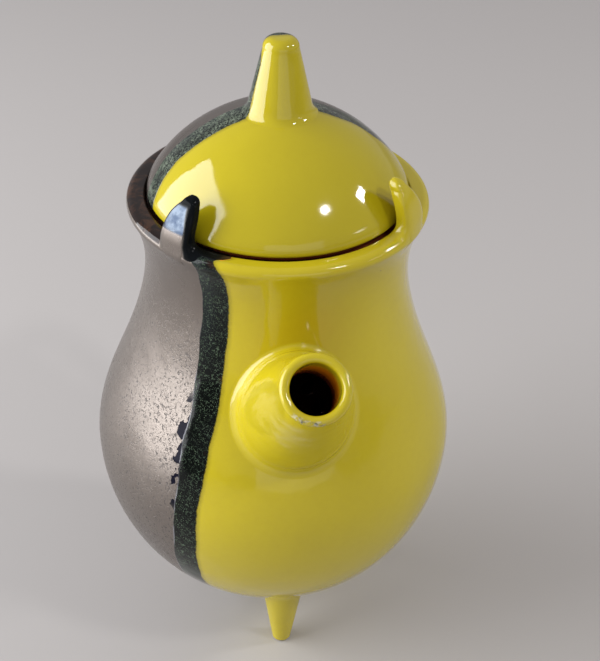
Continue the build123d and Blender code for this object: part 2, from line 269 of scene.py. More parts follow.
class Turned:
    """A surface turned about the pot's axis, that other pieces land on."""

    def __init__(self, profile):
        self.points = filled(profile, 0.5)
        step = np.diff(self.points, axis=0)
        length = np.linalg.norm(step, axis=1)
        face = np.c_[step[:, 1], -step[:, 0]] / length[:, None]
        corner = np.vstack([face[:1], face[:-1] + face[1:], face[-1:]])
        self.normals = corner / np.linalg.norm(corner, axis=1)[:, None]
        self.step = step
        self.length = length

    def near(self, points):
        """Signed distance to the surface, nearest point on it, and its outward normal."""
        radius = np.hypot(points[:, 0], points[:, 1])
        flat = np.c_[radius, points[:, 2]]
        gap = ((flat[:, None, :] - self.points[None]) ** 2).sum(axis=2)
        nearest = np.argmin(gap, axis=1)
        best = None
        for shift in (-1, 0):
            k = np.clip(nearest + shift, 0, len(self.step) - 1)
            rel = flat - self.points[k]
            t = np.clip((rel * self.step[k]).sum(axis=1) / self.length[k] ** 2, 0, 1)
            foot = self.points[k] + self.step[k] * t[:, None]
            far = np.linalg.norm(flat - foot, axis=1)
            normal = self.normals[k] * (1 - t)[:, None] + self.normals[k + 1] * t[:, None]
            if best is None:
                best = [far, foot, normal]
            else:
                closer = far < best[0]
                best[0] = np.where(closer, far, best[0])
                best[1] = np.where(closer[:, None], foot, best[1])
                best[2] = np.where(closer[:, None], normal, best[2])
        far, foot, normal = best
        normal = normal / np.linalg.norm(normal, axis=1)[:, None]
        side = np.where(((flat - foot) * normal).sum(axis=1) < 0, -1.0, 1.0)
        out = points[:, :2] / np.maximum(radius, 1e-6)[:, None]
        on = np.c_[out * foot[:, :1], foot[:, 1]]
        up = np.c_[out * normal[:, :1], normal[:, 1]]
        return far * side, on, up


BODY = Turned(body_profile())
LID = Turned(lid_profile())


# ---------------------------------------------------------------- meshes
def new_piece(name, points, faces, sharp=()):
    """Mesh object in metres from points in millimetres, smooth except along sharp rings."""
    mesh = bpy.data.meshes.new(name)
    mesh.from_pydata((np.asarray(points) * MM).tolist(), [], faces)
    mesh.validate()
    mesh.polygons.foreach_set("use_smooth", [True] * len(mesh.polygons))
    if len(sharp):
        marked = set(sharp)
        hard = [e.vertices[0] in marked and e.vertices[1] in marked for e in mesh.edges]
        flag = mesh.attributes.new("sharp_edge", "BOOLEAN", "EDGE")
        flag.data.foreach_set("value", hard)
    mesh.update()
    piece = bpy.data.objects.new(name, mesh)
    bpy.context.scene.collection.objects.link(piece)
    return piece


def stack(rows, start=None, end=None):
    """Points and faces of rings of the same length, closed by a middle point at either end."""
    count = len(rows)
    around = len(rows[0])
    points = np.vstack(rows)
    faces = []
    for i in range(count - 1):
        for j in range(around):
            k = (j + 1) % around
            here, above = i * around, (i + 1) * around
            faces.append((here + j, here + k, above + k, above + j))
    extra = []
    if start is not None:
        tip = len(points) + len(extra)
        extra.append(start)
        faces += [(tip, (j + 1) % around, j) for j in range(around)]
    if end is not None:
        tip = len(points) + len(extra)
        extra.append(end)
        base = (count - 1) * around
        faces += [(tip, base + j, base + (j + 1) % around) for j in range(around)]
    if extra:
        points = np.vstack([points, extra])
    return points, faces


def spokes(count, side=(1, 0, 0), up=(0, 1, 0)):
    """Directions spread evenly round a circle in the plane of side and up."""
    turn = np.linspace(0, 2 * math.pi, count, endpoint=False)
    return np.cos(turn)[:, None] * np.array(side, float) + np.sin(turn)[:, None] * np.array(up, float)


def looped(rows):
    """Points and faces of rings of the same length, the last joined to the first."""
    points, faces = stack(rows)
    around = len(rows[0])
    last = (len(rows) - 1) * around
    for j in range(around):
        k = (j + 1) % around
        faces.append((last + j, last + k, k, j))
    return points, faces


def turned_piece(name, profile, closed=False):
    """A profile turned about the pot's axis. Its ends are on the axis, or it is a loop."""
    out = spokes(COLUMNS)
    rows = [out * r + (0, 0, z) for r, z in (profile if closed else profile[1:-1])]
    if closed:
        points, faces = looped(rows)
    else:
        points, faces = stack(rows, (0, 0, profile[0, 1]), (0, 0, profile[-1, 1]))
    return new_piece(name, points, faces)


def along(line, at):
    """Points at given lengths along a line of points."""
    run = np.r_[0.0, np.cumsum(np.linalg.norm(np.diff(line, axis=0), axis=1))]
    return np.c_[tuple(np.interp(at, run, line[:, i]) for i in range(3))]


def rooted(rows, wall, outward, back, spread, middle, keep=1, steps=9):
    """Rings from a free end that enter a wall, cut there and faired into its surface.

    back and spread say how far the fairing starts above the wall and how far it reaches
    over it, as one number or one for each point around. The first keep rings stay as they
    are, middle more follow down to the fairing, and steps more make it.
    """
    rows = np.asarray(rows)
    count, around, _ = rows.shape
    back = np.broadcast_to(back, around)
    spread = np.broadcast_to(spread, around)
    gap = wall.near(rows.reshape(-1, 3))[0].reshape(count, around)
    out = np.zeros((keep + middle + steps, around, 3))
    hit = np.zeros((around, 3))
    run_in = np.zeros((around, 3))
    reach = np.zeros(around)
    for j in range(around):
        inside = np.where(gap[:, j] <= 0)[0]
        i = int(inside[0])
        share = gap[i - 1, j] / (gap[i - 1, j] - gap[i, j])
        hit[j] = rows[i - 1, j] + share * (rows[i, j] - rows[i - 1, j])
        line = np.vstack([rows[:i, j], hit[j]])
        total = np.linalg.norm(np.diff(line, axis=0), axis=1).sum()
        kept = np.linalg.norm(np.diff(rows[:keep, j], axis=0), axis=1).sum()
        start = max(total - back[j], kept + 0.3)
        at = np.linspace(kept, start, middle + 1)[1:]
        out[:keep, j] = rows[:keep, j]
        out[keep:keep + middle, j] = along(line, at)
        ahead, here = along(line, [start + 0.2, start])
        run_in[j] = ahead - here
        reach[j] = total - start
    run_in /= np.linalg.norm(run_in, axis=1)[:, None]
    _, _, normal = wall.near(hit)
    way = run_in + outward
    way -= normal * (way * normal).sum(axis=1)[:, None]
    way /= np.linalg.norm(way, axis=1)[:, None]
    _, land, up = wall.near(hit + way * spread[:, None])
    land = land - up * LAND_SINK
    arrive = way - up * (way * up).sum(axis=1)[:, None]
    arrive /= np.linalg.norm(arrive, axis=1)[:, None]
    leave = out[keep + middle - 1]
    far = np.linalg.norm(land - hit, axis=1)
    pull = 0.62
    first = leave + run_in * (pull * reach)[:, None]
    second = land - arrive * (pull * far)[:, None]
    for n in range(steps):
        t = (n + 1) / steps
        out[keep + middle + n] = (
            leave * (1 - t) ** 3
            + first * 3 * t * (1 - t) ** 2
            + second * 3 * t * t * (1 - t)
            + land * t ** 3
        )
    return out, up


def rooted_solid(name, rows, wall, outward, back, spread, start, **extra):
    """A closed piece that stands on a wall: faired rings, then a cap just under the surface."""
    rings, up = rooted(rows, wall, outward, back, spread, **extra)
    sunk = rings[-1] - up * ROOT_DEPTH
    _, on, normal = wall.near(sunk.mean(axis=0)[None])
    middle = on[0] - normal[0] * ROOT_DEPTH
    points, faces = stack(list(rings) + [sunk], start, middle)
    around = len(rings[0])
    edge = range((len(rings) - 1) * around, len(rings) * around)
    return new_piece(name, points, faces, edge)


def drill(piece, centres, radius, reach):
    """Cut round holes along the spout's axis through a piece."""
    axis, side, up = spout_axes()
    out = spokes(40, side, up) * radius
    rings = []
    faces = []
    for centre in centres:
        start = centre - axis * reach
        end = start + 2 * axis * reach
        points, sides = stack([start + out, end + out], start, end)
        done = sum(map(len, rings))
        faces += [tuple(i + done for i in face) for face in sides]
        rings.append(points)
    tool = new_piece("drill", np.vstack(rings), faces)
    cut = piece.modifiers.new("holes", "BOOLEAN")
    cut.object = tool
    cut.operation = "DIFFERENCE"
    cut.solver = "EXACT"
    evaluated = piece.evaluated_get(bpy.context.evaluated_depsgraph_get())
    solid = bpy.data.meshes.new_from_object(evaluated)
    piece.modifiers.clear()
    piece.data = solid
    bpy.data.objects.remove(tool)
    return piece


def body_piece():
    piece = turned_piece("pot_body", body_profile())
    _, side, up = spout_axes()
    turns = np.radians(np.arange(0, 360, 60))
    centres = [SPOUT_ROOT]
    for turn in turns:
        centres.append(SPOUT_ROOT + STRAINER_RING * (math.cos(turn) * side + math.sin(turn) * up))
    return drill(piece, centres, STRAINER_HOLE, STRAINER_REACH)


def spout_axes():
    axis = np.array((0.0, -math.cos(SPOUT_RISE), math.sin(SPOUT_RISE)))
    side = np.array((1.0, 0.0, 0.0))
    return axis, side, np.cross(axis, side)


def spout_outline():
    """Outside of the spout as (radius, distance along it), from the mouth down."""
    lip = (SPOUT_MOUTH - SPOUT_BORE) / 2
    lip_at = SPOUT_LENGTH - lip
    edge = arc((SPOUT_MOUTH - lip, lip_at), lip, 180, 0, 17)
    side = spline(
        [
            (SPOUT_ROOT_RADIUS, SPOUT_SUNK), (SPOUT_START_RADIUS, 0.0),
            (SPOUT_WAIST[0], SPOUT_WAIST[1] * SPOUT_LENGTH), (SPOUT_MOUTH, lip_at),
        ],
        (0, 1), (-0.08, 1), 150,
    )
    return edge, side[::-1]


def spout_piece():
    around = 144
    axis, side, up = spout_axes()
    out = spokes(around, side, up)
    edge, wall = spout_outline()
    outline = joined(edge, wall)

    def ring(radius, at):
        return SPOUT_ROOT + axis * at + out * radius

    rows = [ring(r, at) for r, at in outline]
    rings, normal = rooted(rows, BODY, out, 4.6, 3.4, keep=len(edge), middle=46)
    bore = filled(np.array([
        (SPOUT_BORE, edge[0, 1]), (SPOUT_BORE, SPOUT_THROAT_AT), SPOUT_WAIST_BORE,
        (SPOUT_ROOT_BORE, 0.0), (SPOUT_ROOT_BORE, SPOUT_SUNK),
    ]), 0.8)
    inner_rows = [ring(r, at) for r, at in bore]
    inner, inner_up = rooted(inner_rows, BODY, -out * 0.2, 0.6, 0.1, middle=40, steps=4)
    depth = 0.6
    sunk = rings[-1] - normal * depth
    inner_sunk = inner[-1] - inner_up * depth
    rows = list(inner[::-1]) + list(rings[1:]) + [sunk, inner_sunk]
    points, faces = looped(rows)
    outer_edge = (len(rows) - 3) * around
    sharp = list(range(outer_edge, outer_edge + around)) + list(range(around))
    return new_piece("pot_spout", points, faces, sharp)


def foot_piece(name, angle):
    around = 72
    out = spokes(around)
    spin = math.radians(angle)
    centre = np.array((FOOT_CIRCLE * math.sin(spin), -FOOT_CIRCLE * math.cos(spin), 0.0))
    edge = arc((FOOT_TIP_RADIUS - FOOT_TIP_EDGE, FOOT_TIP_EDGE), FOOT_TIP_EDGE, -90, 0, 9)
    slope = (FOOT_ROOT_RADIUS - FOOT_TIP_RADIUS) / FOOT_ROOT_Z
    top = (FOOT_TIP_RADIUS + slope * FOOT_LENGTH, FOOT_TIP_EDGE + FOOT_LENGTH)
    side = straight((FOOT_TIP_RADIUS, FOOT_TIP_EDGE), top, 90)
    outline = joined(edge, side)
    rows = [centre + out * r + (0, 0, z) for r, z in outline]
    return rooted_solid(name, rows, BODY, out, 4.0, 2.6, start=centre, keep=len(edge), middle=20)


def knob_piece():
    around = 96
    out = spokes(around)
    flat_radius = KNOB_TOP_RADIUS - KNOB_EDGE
    edge = arc((flat_radius, KNOB_TOP_Z - KNOB_EDGE), KNOB_EDGE, 90, 0, 14)
    side = straight((KNOB_TOP_RADIUS, KNOB_TOP_Z - KNOB_EDGE), KNOB_SUNK, 80)
    flat_top = straight((0.8, KNOB_TOP_Z), (flat_radius, KNOB_TOP_Z), 3)
    outline = joined(flat_top, edge, side)
    rows = [out * r + (0, 0, z) for r, z in outline]
    keep = len(flat_top) + len(edge) - 1
    top = (0, 0, KNOB_TOP_Z)
    return rooted_solid("lid_knob_turned", rows, LID, out, 2.6, 1.9, start=top, keep=keep, middle=26)


def handle_piece():
    around = 72
    bend_y = HANDLE_REAR - HANDLE_TOP_BEND
    bend_z = HANDLE_TOP_Z - HANDLE_TOP_BEND
    grip_y = HANDLE_REAR - HANDLE_GRIP_BEND
    sweep = math.radians(HANDLE_GRIP_SWEEP)
    first = straight((HANDLE_START, HANDLE_TOP_Z), (bend_y, HANDLE_TOP_Z), 40)
    second = arc((bend_y, bend_z), HANDLE_TOP_BEND, 90, 0, 34)
    third = arc((grip_y, bend_z), HANDLE_GRIP_BEND, 0, -HANDLE_GRIP_SWEEP, 44)
    end = third[-1]
    into = np.array((-math.sin(sweep), -math.cos(sweep)))
    fourth = straight(end, end + into * HANDLE_TAIL, 16)
    route = joined(first, second, third, fourth)
    ahead = np.gradient(route, axis=0)
    ahead /= np.linalg.norm(ahead, axis=1)[:, None]
    rows = []
    outs = []
    for (y, z), (dy, dz) in zip(route, ahead):
        across = np.array((0.0, dz, -dy)) * HANDLE_HALF_THICKNESS
        out = spokes(around, (HANDLE_HALF_WIDTH, 0, 0), across)
        rows.append(np.array((0.0, y, z)) + out)
        outs.append(out / np.linalg.norm(out, axis=1)[:, None])
    rows = np.array(rows)
    half = 62  # ring from which the two ends are followed into the pot
    upper, upper_n = rooted(rows[half::-1], BODY, outs[0], 4.0, 2.5, middle=44)
    lower, lower_n = rooted(rows[half:], BODY, outs[-1], 4.0, 2.5, middle=44)
    up_sunk = upper[-1] - upper_n * ROOT_DEPTH
    low_sunk = lower[-1] - lower_n * ROOT_DEPTH
    rings = [up_sunk] + list(upper[::-1]) + list(lower[1:]) + [low_sunk]
    points, faces = stack(rings, up_sunk.mean(axis=0), low_sunk.mean(axis=0))
    sharp = list(range(around, 2 * around))
    last = (len(rings) - 2) * around
    sharp += list(range(last, last + around))
    return new_piece("pot_handle", points, faces, sharp)


def circle_through(a, b, c, count):
    """Arc through three points in a plane."""
    a, b, c = (np.array(p, float) for p in (a, b, c))
    lhs = 2 * np.array((b - a, c - a))
    rhs = np.array((b @ b - a @ a, c @ c - a @ a))
    centre = np.linalg.solve(lhs, rhs)
    turns = [math.atan2(*(p - centre)[::-1]) for p in (a, b, c)]
    turns = np.unwrap(turns)
    angle = np.linspace(turns[0], turns[2], count)
    radius = np.linalg.norm(a - centre)
    return centre + radius * np.c_[np.cos(angle), np.sin(angle)]


# Edges of the claws as (sideways from the middle, height above the rim), from the root up.
LEFT_CLAW = {
    "side": -1,
    "angle": 49.2,
    "front": [(-4.5, -13.0), (-6.6, -7.0), (-7.0, -1.0), (-7.2, 4.6), (-7.6, 10.0)],
    "tip": [(-6.9, 14.2), (-4.2, 17.2), (-0.7, 15.4)],
    "rear": [(2.5, 11.9), (4.5, 7.3), (5.7, 2.0), (5.6, -6.0), (3.5, -13.0)],
}
RIGHT_CLAW = {
    "side": 1,
    "angle": 52.8,
    "front": [(-4.0, -13.0), (-5.8, -7.0), (-6.0, -1.0), (-5.8, 5.0), (-6.1, 10.4)],
    "tip": [(-5.6, 15.2), (-3.8, 18.7), (-0.6, 16.7)],
    "rear": [(3.3, 12.2), (5.9, 8.2), (7.4, 3.0), (7.4, -6.0), (5.0, -13.0)],
}


def claw_outline(claw):
    """Front and rear edge of a claw, each from the root up to the top of the tip."""
    tip = circle_through(*claw["tip"], 80)
    top = int(np.argmax(tip[:, 1]))
    front = spline(claw["front"] + [tip[0]], (-0.3, 1), (0.35, 1), 160)
    rear = spline([tip[-1]] + claw["rear"], (1, -0.85), (-0.3, -1), 160)
    return joined(front, tip[:top + 1]), joined(tip[top:], rear)[::-1]


def claw_piece(name, claw):
    """Claw that leans over the lid: level slices from its tip down into the lip and wall."""
    around = 160
    side = claw["side"]
    front, rear = claw_outline(claw)
    top = front[-1, 1]
    skim = 0.02  # how far under the tip the slices start
    dense = 3.4  # and how far down they are close together
    height = np.r_[
        top - skim - dense * (1 - np.sin(np.linspace(0.0, 1, 22) * math.pi / 2)),
        np.linspace(top - skim - dense, CLAW_BASE, 110)[1:],
    ]
    height = np.sort(height)[::-1]
    lean = top / CLAW_HEIGHT
    profile = body_profile()
    crest = int(np.argmax(profile[:, 1]))
    wall = profile[60:crest + 1]
    flush = [(np.interp(RIM_Z + z, wall[:, 1], wall[:, 0]) + over, z)
             for z, over in ((-13.0, -0.9), (-9.0, -0.12), (-6.0, 0.08), (-3.2, 0.12))]
    outer = spline(
        flush + [(52.85, -0.6), (52.8, 2.4), (52.2, 6.0 * lean), (50.8, 10.5 * lean),
                 (48.6, 14.6 * lean), (46.6, 17.4 * lean)],
        (0.2, 1), (-0.8, 1), 300,
    )
    inner = spline(
        [(46.9, -13.0), (46.9, 0.0), (47.0, 3.0), (45.8, 9.5 * lean), (43.9, 14.6 * lean),
         (42.9, 17.4 * lean)],
        (0.0, 1), (-0.35, 1), 200,
    )
    turn = np.linspace(0, 2 * math.pi, around, endpoint=False)
    cos, sin = np.cos(turn), np.sin(turn)
    box_c = np.sign(cos) * np.abs(cos) ** CLAW_BOXINESS
    box_s = np.sign(sin) * np.abs(sin) ** CLAW_BOXINESS
    rows = []
    middle = math.radians(claw["angle"])
    for z in height:
        f = np.interp(z, front[:, 1], front[:, 0])
        b = np.interp(z, rear[:, 1], rear[:, 0])
        o = np.interp(z, outer[:, 1], outer[:, 0])
        i = np.interp(z, inner[:, 1], inner[:, 0])
        into_tip = max(0.0, (z - (top - CLAW_TIP_ROUND)) / CLAW_TIP_ROUND)
        thick = math.sqrt(max(0.0, 1 - into_tip ** 2))
        shift = (f + b) / 2 + (b - f) / 2 * box_c
        radius = (o + i) / 2 + (o - i) / 2 * box_s * max(thick, 0.1)
        angle = side * (middle + shift / RIM_RADIUS)
        level = np.full(around, RIM_Z + z)
        rows.append(np.c_[radius * np.sin(angle), -radius * np.cos(angle), level])
    middle *= side
    radial = np.array((math.sin(middle), -math.cos(middle), 0.0))
    tangent = side * np.array((math.cos(middle), math.sin(middle), 0.0))
    out = cos[:, None] * tangent + sin[:, None] * radial
    to_front = np.clip(-cos, 0, 1) ** 2
    to_rear = np.clip(cos, 0, 1) ** 2
    to_outside = np.clip(sin, 0, 1)
    back = 1.4 + 3.4 * to_front - 0.8 * to_rear + 0.6 * to_outside
    spread = 1.1 + 3.9 * to_front - 0.6 * to_rear + 0.4 * to_outside
    tip = rows[0].mean(axis=0) + (0, 0, skim)
    rows = np.array(rows)
    if side < 0:
        rows, out, back, spread = rows[:, ::-1], out[::-1], back[::-1], spread[::-1]
    return rooted_solid(name, rows, BODY, out, back, spread, start=tip, middle=56, steps=12)


def flange_piece():
    tip_z = LEDGE_Z - FLANGE_DEPTH
    top_z = LEDGE_Z + FLANGE_ARM
    tip_middle = ((FLANGE_TIP_OUTER + FLANGE_TIP_INNER) / 2, tip_z)
    loop = [
        tip_middle, (FLANGE_TIP_OUTER, tip_z), (FLANGE_RADIUS, LEDGE_Z), (FLANGE_SEAT_RADIUS, LEDGE_Z),
        (FLANGE_SEAT_RADIUS, top_z), (FLANGE_INNER_RADIUS, top_z), (FLANGE_INNER_RADIUS, LEDGE_Z),
        (FLANGE_TIP_INNER, tip_z), tip_middle,
    ]
    path = rounded(loop, [0.9, 0.5, 0.1, 0.3, 0.5, 1.0, 0.9])
    return turned_piece("lid_flange_ring", filled(path, OUTLINE_STEP)[:-1], closed=True)


# ---------------------------------------------------------------- build
pot = body_piece()
spout = spout_piece()
handle = handle_piece()
claw_left = claw_piece("pot_claw_left", LEFT_CLAW)
claw_right = claw_piece("pot_claw_right", RIGHT_CLAW)
foot_front = foot_piece("pot_foot_front", 0)
foot_left = foot_piece("pot_foot_rear_left", -120)
foot_right = foot_piece("pot_foot_rear_right", 120)
lid = turned_piece("lid_dome_turned", lid_profile())
flange = flange_piece()
knob = knob_piece()

# ---------------------------------------------------------------- glaze: where each colour lies
POT_LEFT_EDGE = (  # height, azimuth of the yellow's edge left of the spout
    (0, -37), (40, -34.5), (57, -33), (73, -32.1), (86, -31.5), (96, -31.2), (106, -30.1), (120, -30),
    (130, -28.6), (145, -28.4), (157, -27.9), (167, -27.3), (177, -27.1), (184, -27.3), (188, -28.0),
    (190, -29.6), (192, -32.0),
)
POT_REAR_EDGE = ((0, 150), (50, 154), (90, 150), (130, 156), (165, 152), (192, 149))
LID_EDGE = (  # x, y of the yellow's edge across the lid
    (-46, -13), (-44, -11), (-40, -7.7), (-35, -5.9), (-26, -5.4), (-17, -4.9), (-10, -4.7), (0, -3.2),
    (11.6, -2.0), (18, -1.2), (26.6, 0.6), (33, 0.6), (41.5, 4.6), (46, 6.5),
)


def polar(points):
    """Azimuth in degrees, 0 at the spout and positive to its right, and distance from the axis."""
    x, y, _ = points.T
    return np.degrees(np.arctan2(x, -y)), np.hypot(x, y)


def along_spout(points):
    """Length along the spout's axis, and the way from the axis."""
    axis, _, _ = spout_axes()
    rel = points - SPOUT_ROOT
    at = rel @ axis
    return at, rel - at[:, None] * axis


def pot_edge(points):
    """Distance in mm from the yellow glaze's edge, positive in the dark glaze."""
    z = points[:, 2]
    turn, radius = polar(points)
    left = np.interp(z, *np.array(POT_LEFT_EDGE, float).T)
    left += 5.5 * smooth_step(z, RIM_Z - 1.6, RIM_Z - 0.4) * smooth_step(51.5 - radius, 0.0, 3.5)
    rear = np.interp(z, *np.array(POT_REAR_EDGE, float).T)
    past_left = (left - turn + 180) % 360 - 180
    past_rear = (turn - rear + 180) % 360 - 180
    past = np.where(np.abs(past_left) < np.abs(past_rear), past_left, past_rear)
    return past * np.radians(1) * radius


def lid_edge(points):
    x, y, _ = points.T
    return y - np.interp(x, *np.array(LID_EDGE, float).T)


def body_lining_and_shade(points):
    """How far inside the pot a point is: 0 on the outside, 1 well inside. It gives the brown lining,
    painted darker further in as painted shade, and paints the wall inside the spout's root dark as
    painted shade.
    """
    turn, radius = polar(points)
    z = points[:, 2]
    profile = body_profile()
    crest = int(np.argmax(profile[:, 1]))
    outer = profile[:crest + 1]
    depth = np.interp(z, outer[:, 1], outer[:, 0]) - radius
    inside = (depth > WALL + 0.1) | ((depth > 2.4) & (z < RIM_Z - 2.0))
    inside &= z > BASE_Z + 2.0
    amount = 0.5 * smooth_step(RIM_Z - z, 0.45, 0.95)
    # Further in, from 4 to 16 mm below the rim, the lining darkens: painted shade.
    amount += 0.5 * smooth_step(RIM_Z - z, 4.0, 16.0)
    edge = pot_edge(points)
    collar = np.where(radius > 49.0, smooth_step(z, RIM_Z - 1.7, RIM_Z - 0.9), 1.0)
    speckled_lip = smooth_step(turn, -47.0, -44.0) * smooth_step(-22.0 - turn, 0.0, 1.0)
    collar *= 1 - speckled_lip * smooth_step(radius, 49.6, 50.6)
    collar *= smooth_step(edge, 0.2, 1.2)
    # The pot's wall inside the spout's root is painted as dark as the deep inside: painted shade in the
    # channel.
    _, off = along_spout(points)
    behind_spout = (np.linalg.norm(off, axis=1) < SPOUT_ROOT_BORE) & (points[:, 1] < 0)
    inside |= behind_spout
    amount = np.where(behind_spout, 1.0, amount)
    yellow_side = np.where(inside, amount, 0.0)
    return np.where((edge > 0) & (inside | (z > RIM_Z - 1.8)), collar, yellow_side)


def spout_lining_and_shade(points):
    """0 outside the spout and at its lip, rising to 1 deep in the bore. Low values give amber painted
    brighter than the yellow as painted light, higher ones the brown lining, painted near black deeper in
    as painted shade.
    """
    at, off = along_spout(points)
    far = np.linalg.norm(off, axis=1)
    outline = joined(*spout_outline())
    wall = np.interp(at, outline[::-1, 1], outline[::-1, 0])
    inside = (far < wall - 1.6) | (far < SPOUT_BORE + 0.15)
    return np.where(inside, smooth_step(SPOUT_LENGTH - at, 1.0, 44.0), 0.0)


def spout_worn(points):
    """Chipped glaze on the lower front of the mouth's edge."""
    _, side, up = spout_axes()
    at, off = along_spout(points)
    turn = np.degrees(np.arctan2(off @ up, off @ side))
    around = smooth_step(34 - np.abs((turn + 108 + 180) % 360 - 180), 0, 14)
    rim = smooth_step(at, SPOUT_LENGTH - 2.4, SPOUT_LENGTH - 0.9)
    outer = smooth_step(np.linalg.norm(off, axis=1), SPOUT_MOUTH - 1.7, SPOUT_MOUTH - 0.7)
    return around * rim * outer


def pot_waist_amber(points):
    """A more amber patch of the yellow in the middle of the waist."""
    turn, _ = polar(points)
    return 0.30 * np.exp(-((turn - 6) / 16) ** 2 - ((points[:, 2] - 163) / 15) ** 2)


def nothing(points):
    return np.zeros(len(points))


def everything(points):
    return np.ones(len(points))


def solid_dark(points):
    """Edge distance of a piece that lies well inside the metallic glaze."""
    return np.full(len(points), 20.0)


def foot_worn(points):
    return smooth_step(1.2 - points[:, 2], 0.0, 0.9)


def knob_edge(points):
    """The dark glaze keeps to the back of the knob and to a narrow crescent over its top."""
    x, y, z = points.T
    sides = y + 2.8 + 1.0 * smooth_step(226.0 - z, 0.0, 6.0) - 0.22 * (x + 9.0)
    crown = y - 1.2
    up = smooth_step(z, KNOB_TOP_Z - 9.0, KNOB_TOP_Z - 1.0)
    own = sides * (1 - up) + crown * up
    away = smooth_step(z, 218.8, 222.5)
    return lid_edge(points) * (1 - away) + own * away


def lid_liner(points):
    """1 inside the lid, half that round its drawn-in lower edge, 0 on the dome."""
    _, radius = polar(points)
    outline = dome(LID_RADIUS, LID_RISE, 60)
    wall = np.interp(points[:, 2], outline[:, 1], outline[:, 0])
    under = smooth_step(LID_WIDEST_Z - 1.05 - points[:, 2], 0.0, 0.3)
    return np.maximum(0.5 * under, np.where(wall - radius > 2.0, 1.0, 0.0))


def lip_plain(points):
    """Glossy black, without lustre, on the lip's top between the band and the left claw."""
    turn, radius = polar(points)
    between = smooth_step(turn, -47.5, -44.5) * smooth_step(-26.0 - turn, 0.0, 5.0)
    up = smooth_step(points[:, 2], RIM_Z - 2.4, RIM_Z - 0.5)
    return between * up * smooth_step(51.0 - radius, 0.0, 0.8)


def claw_face(points):
    """1 on the left claw's outer face, 0 on its front, inner and upper sides."""
    turn, radius = polar(points)
    rise = points[:, 2] - RIM_Z
    face = np.interp(rise, (-2.5, -0.5, 3, 6, 10.5, 14, 17.2), (40.0, 51.4, 51.2, 50.6, 49.3, 48.0, 46.6))
    limit = np.interp(rise, (-4, -2, 2, 5, 8, 15), (-30.0, -42.4, -43.1, -42.8, -42.8, -43.9))
    return smooth_step(radius - face, -0.6, 0.5) * smooth_step(limit - turn, -0.3, 1.0)


def claw_plain(points):
    """The left claw is lustrous on its outer face and plain glossy black elsewhere."""
    rise = points[:, 2] - RIM_Z
    return 1.0 - claw_face(points) * smooth_step(15.1 - rise, 0.0, 0.9)


def claw_cool(points):
    """Upper half of the left claw's outer face, where the lustre turns smooth and blue."""
    rise = points[:, 2] - RIM_Z
    return claw_face(points) * smooth_step(rise, 5.6, 6.4)


def paint(piece, **fields):
    """Store what each field gives at each vertex, for the glaze to read by name."""
    count = len(piece.data.vertices)
    points = np.empty(count * 3)
    piece.data.vertices.foreach_get("co", points)
    points = points.reshape(-1, 3) / MM
    for name, field in fields.items():
        layer = piece.data.attributes.new(name, "FLOAT", "POINT")
        layer.data.foreach_set("value", np.asarray(field(points), np.float32))


# ---------------------------------------------------------------- glaze: the shader
class Tree:
    """Short ways to add shader nodes to a material."""

    def __init__(self, name):
        self.material = bpy.data.materials.new(name)
        self.material.use_nodes = True
        self.nodes = self.material.node_tree.nodes
        self.links = self.material.node_tree.links
        self.shader = self.nodes["Principled BSDF"]
        self.space = self.nodes.new("ShaderNodeTexCoord").outputs["Object"]

    def put(self, socket, value):
        if isinstance(value, bpy.types.NodeSocket):
            self.links.new(value, socket)
        elif isinstance(value, tuple) and len(value) == 3 and socket.type == "RGBA":
            socket.default_value = (*value, 1.0)
        else:
            socket.default_value = value

    def math(self, operation, first, second=0.0, clamp=False):
        node = self.nodes.new("ShaderNodeMath")
        node.operation = operation
        node.use_clamp = clamp
        self.put(node.inputs[0], first)
        self.put(node.inputs[1], second)
        return node.outputs[0]

    def step(self, value, low, high, to_low=0.0, to_high=1.0):
        node = self.nodes.new("ShaderNodeMapRange")
        node.interpolation_type = "SMOOTHSTEP"
        for key, entry in zip((0, 1, 2, 3, 4), (value, low, high, to_low, to_high)):
            self.put(node.inputs[key], entry)
        return node.outputs[0]

    def blend(self, share, first, second, kind="FLOAT", entry=2, result=0):
        node = self.nodes.new("ShaderNodeMix")
        node.data_type = kind
        self.put(node.inputs[0], share)
        self.put(node.inputs[entry], first)
        self.put(node.inputs[entry + 1], second)
        return node.outputs[result]

    def mix(self, share, first, second):
        """Blend of two colours."""
        return self.blend(share, first, second, kind="RGBA", entry=6, result=2)

    def stretched(self, scale):
        node = self.nodes.new("ShaderNodeMapping")
        node.inputs["Scale"].default_value = scale
        self.put(node.inputs["Vector"], self.space)
        return node.outputs[0]

    def noise(self, scale, detail=2.0, rough=0.5, twist=0.0, space=None):
        node = self.nodes.new("ShaderNodeTexNoise")
        self.put(node.inputs["Vector"], space or self.space)
        node.inputs["Scale"].default_value = scale
        node.inputs["Detail"].default_value = detail
        node.inputs["Roughness"].default_value = rough
        node.inputs["Distortion"].default_value = twist
        return node.outputs["Fac"]

    def cells(self, scale):
        node = self.nodes.new("ShaderNodeTexVoronoi")
        self.put(node.inputs["Vector"], self.space)
        node.inputs["Scale"].default_value = scale
        return node.outputs["Distance"]

    def field(self, name):
        node = self.nodes.new("ShaderNodeAttribute")
        node.attribute_name = name
        return node.outputs["Fac"]

    def height(self):
        node = self.nodes.new("ShaderNodeSeparateXYZ")
        self.put(node.inputs[0], self.space)
        return node.outputs[2]

    def times(self, first, second, *others):
        for other in (second, *others):
            first = self.math("MULTIPLY", first, other)
        return first

    def less(self, value):
        """One minus a value."""
        return self.math("SUBTRACT", 1.0, value)

    def waver(self, noise, amount):
        """Noise about zero, amount from its lowest to its highest."""
        return self.times(self.math("SUBTRACT", noise, 0.5), amount)


